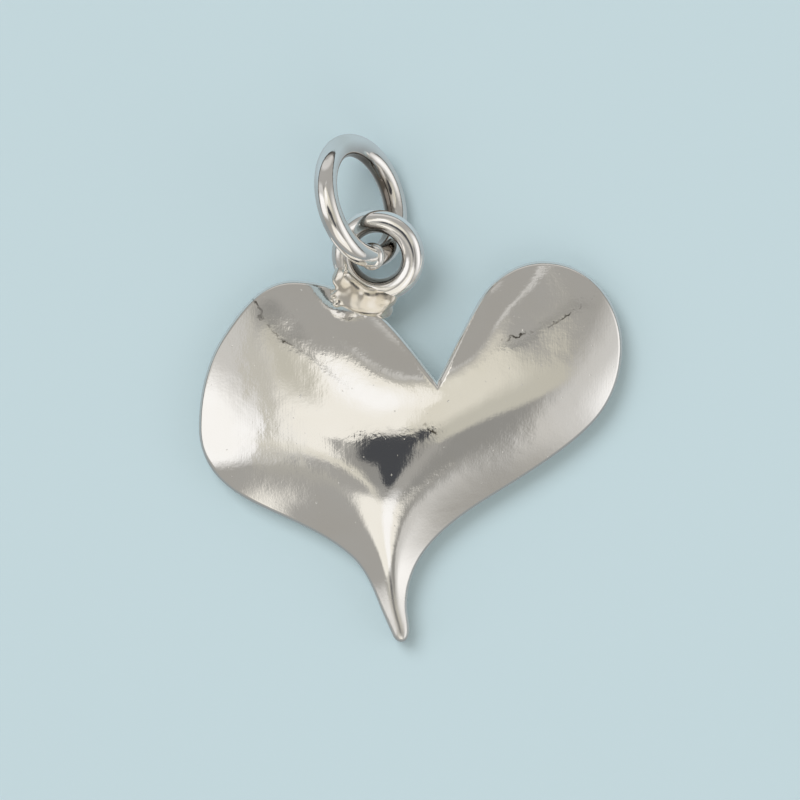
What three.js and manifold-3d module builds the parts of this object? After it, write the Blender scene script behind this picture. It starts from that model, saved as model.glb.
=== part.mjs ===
// A puffed heart charm of polished silver, with a wire eye soldered to its left lobe and a loose jump ring.
// Millimetres, +Z up. The heart lies on its flat back.
// The origin is on the back, under the middle of the dome.
import * as THREE from "three";
import { mergeVertices } from "three/addons/utils/BufferGeometryUtils.js";
import Module from "manifold-3d";

const wasm = await Module();
wasm.setup();

// Clearances. The pieces are soldered together, so each gap only keeps neighbouring meshes apart.
const SEAM_GAP = 0.03;
const WIRE_GAP = 0.03;

// The heart's outline, walked clockwise, drawn at its real width. With another width it scales evenly.
// Each knot is x, y, the heading in and the heading out, in degrees.
// The curve between two knots turns evenly from one heading to the next.
// Steep is how steeply the front leaves the edge there, as a share of DOME_SLOPE. The dome climbs from a line
// that bridges most of the cleft, so a knot beside the cleft gives its own place in that line.
const HEART_WIDTH = 18.58;
const OUTLINE_KNOTS = [
  // The cleft between the lobes.
  {
    x: 2.05, y: 3.2, headingIn: -51, headingOut: 62, steep: 0.9,
    dome: { x: 1.8, y: 6, headingIn: -22, headingOut: 32 },
  },
  { x: 3.9, y: 6.75, headingIn: 60, steep: 1.1, dome: { x: 4.05, y: 7.5, headingIn: 31 } },
  { x: 6.75, y: 8.5, headingIn: 0, steep: 0.45, name: "right lobe top" },
  { x: 10.2, y: 4.75, headingIn: -90, steep: 0.55 },
  { x: 8.85, y: 1.35, headingIn: -134, steep: 0.9 },
  { x: 5.9, y: -0.9, headingIn: -147, steep: 1.1 },
  { x: 1.7, y: -4.0, headingIn: -130, steep: 1.2 }, // where the right flank runs into the tail
  { x: 0.75, y: -6.6, headingIn: -90, steep: 0.85 },
  { x: 0.85, y: -7.7, headingIn: -92, steep: 0.85 },
  { x: 0.5, y: -8.2, headingIn: 180, steep: 0.85 }, // the tip
  { x: 0.12, y: -7.9, headingIn: 114, steep: 0.85 },
  { x: -0.45, y: -6.6, headingIn: 112, steep: 0.85 },
  { x: -1.7, y: -4.45, headingIn: 138, steep: 1.3 }, // where the left flank runs into the tail
  { x: -4.8, y: -2.65, headingIn: 156, steep: 0.95 },
  { x: -7.65, y: -0.85, headingIn: 130, steep: 0.7 },
  { x: -8.38, y: 1.2, headingIn: 90, steep: 0.6 },
  { x: -7.3, y: 5.25, headingIn: 57, steep: 0.5 },
  { x: -4.25, y: 7.65, headingIn: 0, steep: 0.6, name: "left lobe top" },
  { x: -0.5, y: 6.2, headingIn: -42, steep: 0.9, dome: { x: -0.8, y: 6.9, headingIn: -22 } },
];

// How finely the round forms are cut into facets.
const CURVE_STEPS = 6; // from each knot of the outline to the next
const WIRE_SIDES = 14;
const EYE_STEPS = 44;
const JUMP_RING_STEPS = 60;
const VENT_SIDES = 24;
const LUMP_STEPS = { around: 20, up: 14 };

// The heart's body: a flat back sheet, a seam of solder and a domed front sheet.
const BACK_SHEET = 0.5;
const BACK_EDGE_BEVEL = 0.08;
const SEAM_THICKNESS = 0.12;
const SEAM_WIDTH = 0.42; // in from the outline
const FRONT_SHEET = 0.6;
const WALL_HEIGHT = 0.9; // from the back to where the front's edge starts to turn over
const EDGE_RADIUS = 0.3; // of the turn from the wall to the dome, cut as one facet
const DOME_SLOPE = 0.72; // rise over run where the dome leaves the edge
const VENT_DIAMETER = 0.8;
const VENT_AT = { x: -0.6, y: -2.6 };

// The rings are round wire.
const WIRE_DIAMETER = 1.0;
const EYE_INSIDE_DIAMETER = 2.1;
const EYE_FROM_LOBE_TOP = { x: 3.73, y: 1.08 }; // to the eye's middle, from the top of the left lobe
const EYE_HEIGHT = 1.9; // of the eye's middle above the back
const EYE_RISES_TOWARD_Y = 15; // degrees
const EYE_RISES_TOWARD_X = 10;
const JUMP_RING_INSIDE_DIAMETER = 4.0;
const JUMP_RING_LIES_TOWARD = 107.5; // heading from the eye's middle to the jump ring's, in degrees
const JUMP_RING_LONG_AXIS = -74; // heading of the ring's level diameter
const JUMP_RING_TILT = 55.6; // how far the ring leans up from flat
const CUT_AT = 8; // where on the jump ring the closing cut lies, in degrees from the level diameter
const CUT_WIDTH = 0.16;
const BEAD_PROUD = 0.11; // how far the solder in the cut stands out from the wire
const BEAD_LENGTH = 0.84;

// The lumps of solder that join the eye to the lobe. Each lies at a heading from the eye's middle, so far
// beyond the middle of its wire and so far below it, and has three half lengths and a turn.
const EYE_SOLDER_LUMPS = [
  { heading: -118, beyond: 0.41, below: 0.9, half: [1.15, 0.6, 0.8], turn: -33 },
  { heading: -93, beyond: 0.58, below: 0.95, half: [0.85, 0.55, 0.74], turn: -30 },
  { heading: -119, beyond: 0.7, below: 0.6, half: [0.95, 0.5, 0.45], turn: -32 },
];
const FLOOR_CLEARANCE = 0.2; // the solder stays this far above the plane of the back

// The dome's height is worked out on a grid, finest over the narrow tail.
// These are its cells, the share of even spacing in it and how far it reaches past the outline.
const FRONT_CELLS = { x: 42, y: 34 };
const CAVITY_CELLS = { x: 28, y: 22 };
const GRID_EVEN_SHARE = 0.65;
const GRID_MARGIN = 0.6;
const OUTSIDE_CLIMB = -0.86; // the lowest climb that counts, outside the outline

const knotsAcross = OUTLINE_KNOTS.map((knot) => knot.x);
const heartScale = HEART_WIDTH / (Math.max(...knotsAcross) - Math.min(...knotsAcross));
const scaled = (knot) => ({ ...knot, x: knot.x * heartScale, y: knot.y * heartScale });
const knots = OUTLINE_KNOTS.map(scaled);
const domeKnots = OUTLINE_KNOTS.map((knot) => scaled({ ...knot, ...knot.dome }));
const lobeTop = knots.find((knot) => knot.name === "left lobe top");
const eyeX = lobeTop.x + EYE_FROM_LOBE_TOP.x;
const eyeY = lobeTop.y + EYE_FROM_LOBE_TOP.y;
const eyeCentre = new THREE.Vector3(eyeX, eyeY, EYE_HEIGHT);
const wireRadius = WIRE_DIAMETER / 2;
const eyeRadius = (EYE_INSIDE_DIAMETER + WIRE_DIAMETER) / 2;
const jumpRingRadius = (JUMP_RING_INSIDE_DIAMETER + WIRE_DIAMETER) / 2;
const seamTop = BACK_SHEET + SEAM_THICKNESS;
const slopeLength = Math.hypot(1, DOME_SLOPE); // of the dome's slope, for each unit across
const domeStart = WALL_HEIGHT + EDGE_RADIUS * (slopeLength - DOME_SLOPE); // where the slope meets the wall
const edgeAcross = EDGE_RADIUS * (1 - DOME_SLOPE / slopeLength); // the turn's size, across and up
const edgeUp = EDGE_RADIUS / slopeLength;
const frontSheetUpright = FRONT_SHEET * slopeLength;
const cavityStart = domeStart - frontSheetUpright;

function silver(color, roughness) {
  return new THREE.MeshStandardMaterial({ color, roughness, metalness: 1 });
}

function solid(geometry) {
  const bare = geometry.clone();
  bare.deleteAttribute("normal");
  bare.deleteAttribute("uv");
  const merged = mergeVertices(bare, 1e-4);
  return new wasm.Manifold(
    new wasm.Mesh({
      numProp: 3,
      vertProperties: merged.attributes.position.array,
      triVerts: new Uint32Array(merged.index.array),
    }),
  );
}

function meshOf(name, shape, material) {
  const made = shape.getMesh();
  const geometry = new THREE.BufferGeometry();
  geometry.setAttribute("position", new THREE.BufferAttribute(made.vertProperties, 3));
  geometry.setIndex(new THREE.BufferAttribute(made.triVerts, 1));
  geometry.computeVertexNormals();
  const mesh = new THREE.Mesh(geometry, material);
  mesh.name = name;
  return mesh;
}

function unitHeading(degrees) {
  const angle = THREE.MathUtils.degToRad(degrees);
  return new THREE.Vector2(Math.cos(angle), Math.sin(angle));
}

// One Bezier curve from knot to knot, with the handle length that an arc of the same turn would have.
function shapeThrough(places) {
  const shape = new THREE.Shape();
  shape.moveTo(places[0].x, places[0].y);
  places.forEach((knot, i) => {
    const next = places[(i + 1) % places.length];
    const headingOut = knot.headingOut ?? knot.headingIn;
    const turn = THREE.MathUtils.euclideanModulo(next.headingIn - headingOut + 180, 360) - 180;
    const chord = Math.hypot(next.x - knot.x, next.y - knot.y);
    const reach = chord / (3 * Math.cos(THREE.MathUtils.degToRad(turn) / 4) ** 2);
    const leave = unitHeading(headingOut).multiplyScalar(reach);
    const arrive = unitHeading(next.headingIn).multiplyScalar(reach);
    shape.bezierCurveTo(
      knot.x + leave.x,
      knot.y + leave.y,
      next.x - arrive.x,
      next.y - arrive.y,
      next.x,
      next.y,
    );
  });
  return shape;
}

const outlineShape = shapeThrough(knots);
const outline = outlineShape.getPoints(CURVE_STEPS);
const outlineBox = new THREE.Box2().setFromPoints(outline);
const outlineMiddle = outlineBox.getCenter(new THREE.Vector2());
const outlineSize = outlineBox.getSize(new THREE.Vector2());
const tall = Math.max(outlineSize.x, outlineSize.y); // higher than anything that is cut with it

// The line that the dome climbs from. Where it runs outside the outline, the wall is taller.
const domeLine = shapeThrough(domeKnots).getPoints(CURVE_STEPS);
const domeSlopes = domeLine.map((_, i) => {
  const knot = Math.floor(i / CURVE_STEPS) % domeKnots.length;
  const next = (knot + 1) % domeKnots.length;
  const along = ((i % CURVE_STEPS) + 0.5) / CURVE_STEPS;
  return DOME_SLOPE * THREE.MathUtils.lerp(domeKnots[knot].steep, domeKnots[next].steep, along);
});

// How high a surface has climbed from a closed line, smoothed over all directions. Next to a straight piece
// it is the distance times that piece's slope, and in the middle it levels off into a ridge instead of a
// crease. Outside the line it is negative.
function climbAt(line, slopes, x, y) {
  let pull = 0;
  line.forEach((from, i) => {
    const to = line[(i + 1) % line.length];
    const length = from.distanceTo(to);
    if (length < 1e-6) return;
    const alongX = (to.x - from.x) / length;
    const alongY = (to.y - from.y) / length;
    const start = (from.x - x) * alongX + (from.y - y) * alongY;
    const end = start + length;
    const exact = (x - from.x) * alongY - (y - from.y) * alongX;
    const away = Math.abs(exact) < 1e-5 ? 1e-5 : exact;
    const reachOf = (s) => s / (2 * away * (away * away + s * s)) + Math.atan(s / away) / (2 * away * away);
    pull += (reachOf(end) - reachOf(start)) / slopes[i] ** 2;
  });
  return Math.sign(pull) * Math.sqrt(Math.PI / 2 / Math.abs(pull));
}

// The climbs over the grid are kept, because several blocks share them.
function keptClimb(line, slopes) {
  const kept = new Map();
  return (x, y) => {
    const key = x.toFixed(4) + " " + y.toFixed(4);
    if (!kept.has(key)) kept.set(key, Math.max(OUTSIDE_CLIMB, climbAt(line, slopes, x, y)));
    return kept.get(key);
  };
}

const domeClimb = keptClimb(domeLine, domeSlopes);
const wallLifts = outline.map((point) => Math.max(0, climbAt(domeLine, domeSlopes, point.x, point.y)));

// A block wider than the heart. Its top starts at a height over the line that it climbs from.
function climbingBlock(startHeight, climb, cells) {
  const box = new THREE.BoxGeometry(2, 2, 2, cells.x, cells.y, 1);
  const halfX = outlineSize.x / 2 + GRID_MARGIN;
  const halfY = outlineSize.y / 2 + GRID_MARGIN;
  const position = box.attributes.position;
  for (let i = 0; i < position.count; i++) {
    const across = position.getX(i);
    const x = outlineMiddle.x + halfX * (GRID_EVEN_SHARE * across + (1 - GRID_EVEN_SHARE) * across ** 3);
    const y = outlineMiddle.y + halfY * position.getY(i);
    const top = position.getZ(i) > 0;
    position.setXYZ(i, x, y, top ? startHeight + climb(x, y) : -tall);
  }
  return solid(box);
}

// Everything on one side of a level plane, as a block much larger than the charm.
function halfSpace(height, side) {
  const block = new THREE.BoxGeometry(4 * tall, 4 * tall, tall);
  return solid(block.translate(0, 0, height + (side * tall) / 2));
}

// A shape as an upright block, grown on all sides by a distance, or shrunk by a negative one.
function uprightBlock(shape, low, high, grow = 0) {
  const hair = 0.001; // the bevel that carries the growth
  const geometry = new THREE.ExtrudeGeometry(shape, {
    depth: high - low,
    curveSegments: CURVE_STEPS,
    bevelEnabled: grow !== 0,
    bevelThickness: hair,
    bevelSize: hair,
    bevelOffset: grow - hair,
    bevelSegments: 1,
  });
  geometry.translate(0, 0, low);
  return solid(geometry);
}

// The outline as a block with one facet round its top and bottom edges, within the two heights.
// The facet at the top can follow the lifts of the wall.
function facetedBlock(low, high, across, up, lifts = outline.map(() => 0)) {
  const geometry = new THREE.ExtrudeGeometry(outlineShape, {
    depth: high - low - 2 * up,
    curveSegments: CURVE_STEPS,
    bevelThickness: up,
    bevelSize: across,
    bevelOffset: -across,
    bevelSegments: 1,
  });
  geometry.translate(0, 0, low + up);
  const position = geometry.attributes.position;
  for (let i = 0; i < position.count; i++) {
    const place = new THREE.Vector2(position.getX(i), position.getY(i));
    const distances = outline.map((point) => point.distanceTo(place));
    const nearest = distances.indexOf(Math.min(...distances));
    if (position.getZ(i) > (low + high) / 2) position.setZ(i, position.getZ(i) + lifts[nearest]);
  }
  return solid(geometry);
}

// The turn at the edge is one facet, which runs on beyond the dome so that the two cross cleanly.
// The block within it, behind the facet, carries the dome's middle.
function heartSolid(low) {
  const beyond = 1.5;
  const behind = 1.25;
  const facetTop = WALL_HEIGHT + beyond * edgeUp;
  const edge = facetedBlock(-tall / 4, facetTop, beyond * edgeAcross, beyond * edgeUp, wallLifts);
  const middle = uprightBlock(outlineShape, -tall / 8, tall, -behind * edgeAcross);
  const dome = climbingBlock(domeStart, domeClimb, FRONT_CELLS);
  return edge.add(middle).intersect(dome).subtract(halfSpace(low, -1));
}

// The room that the heart takes up, with a gap all round.
function heartWithGap() {
  const dome = climbingBlock(domeStart + SEAM_GAP * slopeLength, domeClimb, FRONT_CELLS);
  return uprightBlock(outlineShape, -tall / 4, tall, SEAM_GAP).intersect(dome);
}

// The space between the lobes, grown into the heart by a distance. It keeps the hollow off the tall wall.
function cleftWedge(grow) {
  const pointOf = (name) => knots.findIndex((knot) => knot.name === name) * CURVE_STEPS;
  const rightTop = outline[pointOf("right lobe top")];
  const leftTop = outline[pointOf("left lobe top")];
  const edge = [
    ...outline.slice(pointOf("left lobe top"), -1),
    ...outline.slice(0, pointOf("right lobe top") + 1),
  ];
  const above = [new THREE.Vector2(rightTop.x, tall), new THREE.Vector2(leftTop.x, tall)];
  return uprightBlock(new THREE.Shape([...edge, ...above]), -tall / 4, tall, grow);
}

function frontShell() {
  const cavity = climbingBlock(cavityStart, domeClimb, CAVITY_CELLS);
  return heartSolid(seamTop).subtract(cavity.subtract(cleftWedge(FRONT_SHEET)));
}

function backPlate() {
  const bevelled = facetedBlock(0, BACK_SHEET * 2, BACK_EDGE_BEVEL, BACK_EDGE_BEVEL);
  const vent = new THREE.CylinderGeometry(VENT_DIAMETER / 2, VENT_DIAMETER / 2, 4 * BACK_SHEET, VENT_SIDES);
  vent.rotateX(Math.PI / 2).translate(VENT_AT.x * heartScale, VENT_AT.y * heartScale, 0);
  return bevelled.subtract(halfSpace(BACK_SHEET, 1)).subtract(solid(vent));
}

// The seam is cut open by a block with steep sides, so that its width is the same all the way up.
function rimSolder() {
  const seamMiddle = (BACK_SHEET + seamTop) / 2;
  const steep = 10;
  const climb = keptClimb(outline, outline.map(() => steep));
  const inside = climbingBlock(seamMiddle - steep * SEAM_WIDTH, climb, FRONT_CELLS);
  return uprightBlock(outlineShape, BACK_SHEET + SEAM_GAP, seamTop - SEAM_GAP).subtract(inside);
}

function wireRing(ringRadius, steps, extra = 0) {
  return new THREE.TorusGeometry(ringRadius, wireRadius + extra, WIRE_SIDES, steps);
}

// A ball of radius 1 that a lump or a bead is scaled from.
function ball() {
  return new THREE.SphereGeometry(1, LUMP_STEPS.around, LUMP_STEPS.up);
}

// The eye lies nearly flat and rises away from the heart.
function eyePlacement() {
  const riseX = Math.tan(THREE.MathUtils.degToRad(EYE_RISES_TOWARD_X));
  const riseY = Math.tan(THREE.MathUtils.degToRad(EYE_RISES_TOWARD_Y));
  const facing = new THREE.Vector3(-riseX, -riseY, 1).normalize();
  const turn = new THREE.Quaternion().setFromUnitVectors(new THREE.Vector3(0, 0, 1), facing);
  return new THREE.Matrix4().compose(eyeCentre, turn, new THREE.Vector3(1, 1, 1));
}

// The jump ring's wire passes over the middle of the eye, and its lowest point is in the plane of the back.
function jumpRingPlacement() {
  const tilt = THREE.MathUtils.degToRad(JUMP_RING_TILT);
  const level = unitHeading(JUMP_RING_LONG_AXIS);
  const along = new THREE.Vector3(level.x, level.y, 0);
  const uphill = new THREE.Vector3(level.y * Math.cos(tilt), -level.x * Math.cos(tilt), Math.sin(tilt));
  const facing = along.clone().cross(uphill);
  const height = jumpRingRadius * Math.sin(tilt) + wireRadius;
  const fromEye = unitHeading(JUMP_RING_LIES_TOWARD).multiplyScalar(jumpRingRadius);
  const place = new THREE.Matrix4().makeBasis(along, uphill, facing);
  place.setPosition(eyeCentre.x + fromEye.x, eyeCentre.y + fromEye.y, height);
  return place;
}

// A box across the wire at the closing cut, in the ring's own frame.
function cutBox(width) {
  const box = new THREE.BoxGeometry(2 * WIRE_DIAMETER, width, 2 * WIRE_DIAMETER);
  box.translate(jumpRingRadius, 0, 0);
  return box.rotateZ(THREE.MathUtils.degToRad(CUT_AT));
}

function jumpRing() {
  return solid(wireRing(jumpRingRadius, JUMP_RING_STEPS)).subtract(solid(cutBox(CUT_WIDTH)));
}

// A bead of solder fills the cut and stands a little proud of the wire on both sides of it.
function jumpRingSolder() {
  const beadRadius = wireRadius + BEAD_PROUD;
  const bead = ball().scale(beadRadius, BEAD_LENGTH / 2, beadRadius).translate(jumpRingRadius, 0, 0);
  bead.rotateZ(THREE.MathUtils.degToRad(CUT_AT));
  const ringWithGap = solid(wireRing(jumpRingRadius, JUMP_RING_STEPS, WIRE_GAP));
  const wire = ringWithGap.subtract(solid(cutBox(CUT_WIDTH - 2 * WIRE_GAP)));
  return solid(bead).subtract(wire);
}

function eyeSolder() {
  const lumps = EYE_SOLDER_LUMPS.map(({ heading, beyond, below, half, turn }) => {
    const out = unitHeading(heading).multiplyScalar(eyeRadius + beyond);
    const lump = ball().rotateX(Math.PI / 2).scale(...half).rotateZ(THREE.MathUtils.degToRad(turn));
    lump.translate(eyeCentre.x + out.x, eyeCentre.y + out.y, eyeCentre.z - below);
    return solid(lump);
  });
  const joined = lumps.reduce((whole, lump) => whole.add(lump));
  const eye = wireRing(eyeRadius, EYE_STEPS, WIRE_GAP).applyMatrix4(eyePlacement());
  return joined.subtract(heartWithGap()).subtract(solid(eye)).subtract(halfSpace(FLOOR_CLEARANCE, -1));
}

const heart = new THREE.Group();
heart.name = "heart";
heart.add(meshOf("front_shell", frontShell(), silver(0xc9c6c0, 0.12)));
heart.add(meshOf("back_plate", backPlate(), silver(0xbfbcb6, 0.3)));
heart.add(meshOf("rim_solder", rimSolder(), silver(0xb8b09c, 0.35)));
heart.add(meshOf("eye_solder", eyeSolder(), silver(0xb5a78c, 0.35)));
const eyeRing = meshOf("eye_ring", solid(wireRing(eyeRadius, EYE_STEPS)), silver(0xc9c6c0, 0.15));
eyeRing.applyMatrix4(eyePlacement());
heart.add(eyeRing);

const ring = new THREE.Group();
ring.name = "ring";
ring.applyMatrix4(jumpRingPlacement());
ring.add(meshOf("jump_ring", jumpRing(), silver(0xc9c6c0, 0.12)));
ring.add(meshOf("jump_ring_solder", jumpRingSolder(), silver(0xd0cdc6, 0.25)));

const charm = new THREE.Group();
charm.name = "heart_charm";
charm.add(heart, ring);

export default charm;
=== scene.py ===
# %% [markdown]
# # A puffed silver heart charm
#
# The charm is a hollow heart of polished silver, soldered up from a domed front and a flat back. A wire eye
# is soldered to its left lobe, and a loose jump ring hangs in the eye. This lesson dresses the plain solids
# of the charm: every piece is made again as a smooth one, in the same place, and gets its finish.
#
# The solids come first, because everything else is measured from them.

# %% The frame
import math

import bmesh
import bpy
import numpy as np
from mathutils import Matrix, Vector, noise


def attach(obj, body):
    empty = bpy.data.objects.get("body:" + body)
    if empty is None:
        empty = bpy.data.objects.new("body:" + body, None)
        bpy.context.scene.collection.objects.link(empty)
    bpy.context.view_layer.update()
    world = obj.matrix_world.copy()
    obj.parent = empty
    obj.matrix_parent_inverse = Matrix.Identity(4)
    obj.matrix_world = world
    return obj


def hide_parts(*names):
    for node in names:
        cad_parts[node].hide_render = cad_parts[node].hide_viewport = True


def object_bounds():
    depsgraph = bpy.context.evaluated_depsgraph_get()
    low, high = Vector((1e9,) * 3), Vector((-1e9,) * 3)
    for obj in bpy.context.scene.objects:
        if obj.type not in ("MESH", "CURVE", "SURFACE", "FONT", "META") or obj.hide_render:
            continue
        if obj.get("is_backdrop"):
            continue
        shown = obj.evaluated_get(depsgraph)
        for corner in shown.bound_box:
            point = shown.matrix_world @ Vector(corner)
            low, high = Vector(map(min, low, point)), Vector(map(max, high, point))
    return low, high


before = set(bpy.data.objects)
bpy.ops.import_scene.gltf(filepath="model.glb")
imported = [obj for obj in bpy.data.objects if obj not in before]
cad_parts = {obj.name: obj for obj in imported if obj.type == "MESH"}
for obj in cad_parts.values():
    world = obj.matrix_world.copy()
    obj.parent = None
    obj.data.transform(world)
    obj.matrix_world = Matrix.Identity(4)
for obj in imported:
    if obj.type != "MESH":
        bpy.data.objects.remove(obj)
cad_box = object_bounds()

MM = 0.001  # lengths below are in millimetres and angles in degrees, unless a comment says otherwise
for corner in cad_box:
    print("corner of the solids, mm:", [round(value / MM, 2) for value in corner])

# %% [markdown]
# ## Where the camera stands
#
# The charm lies flat and is seen from straight above. A very long lens a long way off sees it almost without
# perspective, so round things far from the middle keep their shape. A short lens close by would show the
# sides of the rings.

# %% Camera
FRAME_WIDTH = 35.09 * MM  # what the picture spans at the height of the heart's edge
FRAME_CENTRE = Vector((0.44, 2.41, 1.0)) * MM
LENS = 400.0
SENSOR = 36.0

camera_data = bpy.data.cameras.new("camera")
camera_data.lens = LENS
camera_data.sensor_width = SENSOR
camera_data.clip_start = 0.01
camera_data.clip_end = 5.0
camera = bpy.data.objects.new("camera", camera_data)
camera.location = FRAME_CENTRE + Vector((0, 0, FRAME_WIDTH * LENS / SENSOR))
bpy.context.scene.collection.objects.link(camera)
bpy.context.scene.camera = camera
print("the camera is", round(camera.location.z, 3), "m above the floor")

# %% [markdown]
# ## Small helpers for shader nodes
#
# A material or a world is a graph of nodes. Five helpers keep the graphs short: one adds a node and sets it,
# one reckons with two numbers, one reckons with vectors, one stretches a range of numbers onto another, and
# one lays a colour over another through a mask.

# %% Node helpers
def add_node(tree, kind, inputs=None, **settings):
    node = tree.nodes.new(kind)
    for name, value in settings.items():
        setattr(node, name, value)
    for name, value in (inputs or {}).items():
        socket = node.inputs[name]
        if isinstance(value, bpy.types.NodeSocket):
            tree.links.new(value, socket)
        else:
            socket.default_value = value
    return node


def add_math(tree, operation, first, second=0.0):
    return add_node(tree, "ShaderNodeMath", {0: first, 1: second}, operation=operation).outputs[0]


def add_vector(tree, operation, *values, output="Vector"):
    inputs = dict(enumerate(values))
    return add_node(tree, "ShaderNodeVectorMath", inputs, operation=operation).outputs[output]


def add_range(tree, value, low, high, new_low=0.0, new_high=1.0):
    ranges = {0: value, 1: low, 2: high, 3: new_low, 4: new_high}
    return add_node(tree, "ShaderNodeMapRange", ranges).outputs[0]


def add_mix(tree, mask, below, above):
    node = add_node(tree, "ShaderNodeMix", data_type="RGBA")
    for socket, value in ((node.inputs[0], mask), (node.inputs[6], below), (node.inputs[7], above)):
        if isinstance(value, bpy.types.NodeSocket):
            tree.links.new(value, socket)
        else:
            socket.default_value = value if isinstance(value, float) else (*value[:3], 1.0)
    return node.outputs[2]


# %% [markdown]
# ## The light tent
#
# Polished silver has next to no colour of its own: what one sees is the room, bent by the surface. Jewellers
# photograph it in a tent of white cloth, and the seams, the gaps and the hole for the lens show in the
# metal. Real lamps and cards could be placed round the charm, but they would stand in the way of the other
# views. A world shader paints the same tent at an endless distance.
#
# It needs a flat map of the sky first: the middle is straight overhead, and the distance from the middle is
# the angle in degrees.

# %% Map of the sky
world = bpy.data.worlds.new("light tent")
bpy.context.scene.world = world
world.use_nodes = True
sky = world.node_tree
sky.nodes.clear()

direction = add_node(sky, "ShaderNodeTexCoord").outputs["Generated"]
split = add_node(sky, "ShaderNodeSeparateXYZ", {0: direction})
level = add_node(sky, "ShaderNodeCombineXYZ", {"X": split.outputs["X"], "Y": split.outputs["Y"]})
heading = add_vector(sky, "NORMALIZE", level.outputs[0])
off_zenith = add_math(sky, "MULTIPLY", add_math(sky, "ARCCOSINE", split.outputs["Z"]), math.degrees(1))
sky_map = add_node(
    sky, "ShaderNodeVectorMath", {0: heading, "Scale": off_zenith}, operation="SCALE"
).outputs[0]
print("the map takes", len(sky.nodes), "nodes")

# %% [markdown]
# ## One panel of the tent
#
# A panel is a piece of cloth with soft edges and round corners, laid on the map at any turn. A ready-made
# gradient only gives a ball or a stripe. A superellipse gives the corners and the soft edges in one sum: a
# power of 2 makes it an ellipse, and a higher power a box with tighter corners.

# %% Panel helper
def add_panel(below, colour, middle, half, soft, turn, corner):
    moved = add_vector(sky, "SUBTRACT", sky_map, (*middle, 0.0))
    turned = add_node(
        sky,
        "ShaderNodeVectorRotate",
        {"Vector": moved, "Angle": math.radians(-turn)},
        rotation_type="Z_AXIS",
    )
    shares = add_vector(sky, "DIVIDE", turned.outputs[0], (*half, 1.0))
    sides = add_node(sky, "ShaderNodeSeparateXYZ", {0: add_vector(sky, "ABSOLUTE", shares)})
    grown = [add_math(sky, "POWER", sides.outputs[axis], corner) for axis in ("X", "Y")]
    reach = add_math(sky, "POWER", add_math(sky, "ADD", *grown), 1 / corner)
    blur = soft / (2 * min(half))
    mask = add_node(
        sky,
        "ShaderNodeMapRange",
        {0: reach, 1: 1 + blur, 2: 1 - blur, 3: 0.0, 4: 1.0},
        interpolation_type="SMOOTHSTEP",
    ).outputs[0]
    return add_mix(sky, mask, below, colour)


# %% [markdown]
# ## The panels
#
# Each row is one piece of cloth, or the dark hole for the lens, in degrees on the map. A surface that leans
# by 10 degrees mirrors the sky 20 degrees from overhead, which tells where a bright patch on the heart has
# its panel. Later rows lie over earlier ones.

# %% Panels
CLOTH = (0.38, 0.37, 0.35)
SHADED_CLOTH = (0.29, 0.285, 0.27)
LIT_CLOTH = (0.62, 0.61, 0.59)
BEIGE = (0.55, 0.53, 0.46)
CREAM = (0.74, 0.71, 0.62)
WARM_WHITE = (0.92, 0.89, 0.82)
WHITE = (1.02, 1.01, 1.00)
LENS_HOLE = (0.065, 0.068, 0.075)

TENT_PANELS = (  # colour, middle, half size, softness of the edge, turn, roundness of the corners
    (LIT_CLOTH, (60, -16), (26, 44), 12, 0, 4),
    (WHITE, (62, -12), (14, 34), 14, 0, 3),
    (LIT_CLOTH, (0, 68), (50, 9), 6, 0, 4),
    (SHADED_CLOTH, (28, -32), (7, 30), 8, 8, 4),
    (BEIGE, (14, 6), (21, 14), 4, -49, 4),
    (CREAM, (6, 15), (17, 11), 8, -49, 4),
    (WARM_WHITE, (-14, 11), (15.5, 12), 3, 0, 6),
    (WARM_WHITE, (-10, 19), (13, 10), 1.5, 27, 6),
    (WHITE, (-9, 20), (8, 7), 8, 0, 2),
    (BEIGE, (-25.5, 19), (3.5, 6), 5, -15, 4),
    (WARM_WHITE, (-27, -3), (4, 12), 3, 0, 4),
    (LIT_CLOTH, (-53, 8), (22.5, 26), 8, 0, 4),
    (WHITE, (-55, -7), (23, 21), 10, 0, 3.5),
    (BEIGE, (-31.5, 0), (1, 24), 2, 0, 4),
    (WARM_WHITE, (0, -53), (31, 20), 5, -12, 4),
    (WHITE, (8, -45), (9, 12), 8, 0, 3),
    (CREAM, (-19, -20), (14, 2.5), 4, -42, 3),
    (SHADED_CLOTH, (-23, 29), (6, 3), 5, 27, 2),
    (SHADED_CLOTH, (-23, 25), (6.5, 0.7), 1, -20, 4),
    (SHADED_CLOTH, (17, 24.5), (10, 0.6), 1, -18, 4),
    (LIT_CLOTH, (3, 38), (6, 1.5), 2, 20, 3),
    (SHADED_CLOTH, (-4, -12), (17, 14), 8, -35, 2.2),
    (LENS_HOLE, (-4, -6), (13, 7.5), 2, -14, 6),
    (LENS_HOLE, (2, -16), (12, 7), 3, -62, 2.4),
)
tent = CLOTH
for colour, middle, half, soft, turn, corner in TENT_PANELS:
    tent = add_panel(tent, colour, middle, half, soft, turn, corner)
print("the tent has", len(TENT_PANELS), "panels")

# %% [markdown]
# ## Horizon, floor and backdrop
#
# Low down on the far side the tent stands open, and a dark band shows. The lower half of the world is the
# floor as the metal sees it, lighter on the far side. Only the camera sees the pale backdrop: the Light Path
# node tells its rays from all others.

# %% Horizon and backdrop
DARK = (0.07, 0.066, 0.06)
FLOOR_IN_METAL = (0.30, 0.33, 0.34)
FAR_FLOOR_IN_METAL = (0.46, 0.56, 0.60)
BACKDROP = (0.9, 0.93, 0.95)
OPEN_FROM = (83.0, 86.0)  # degrees from overhead: where the dark starts, where it is full
FAR_SIDE = (-0.3, -0.1)  # share of the direction that points along Y
FLOOR_CHANGE = (-0.5, 0.6)

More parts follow.
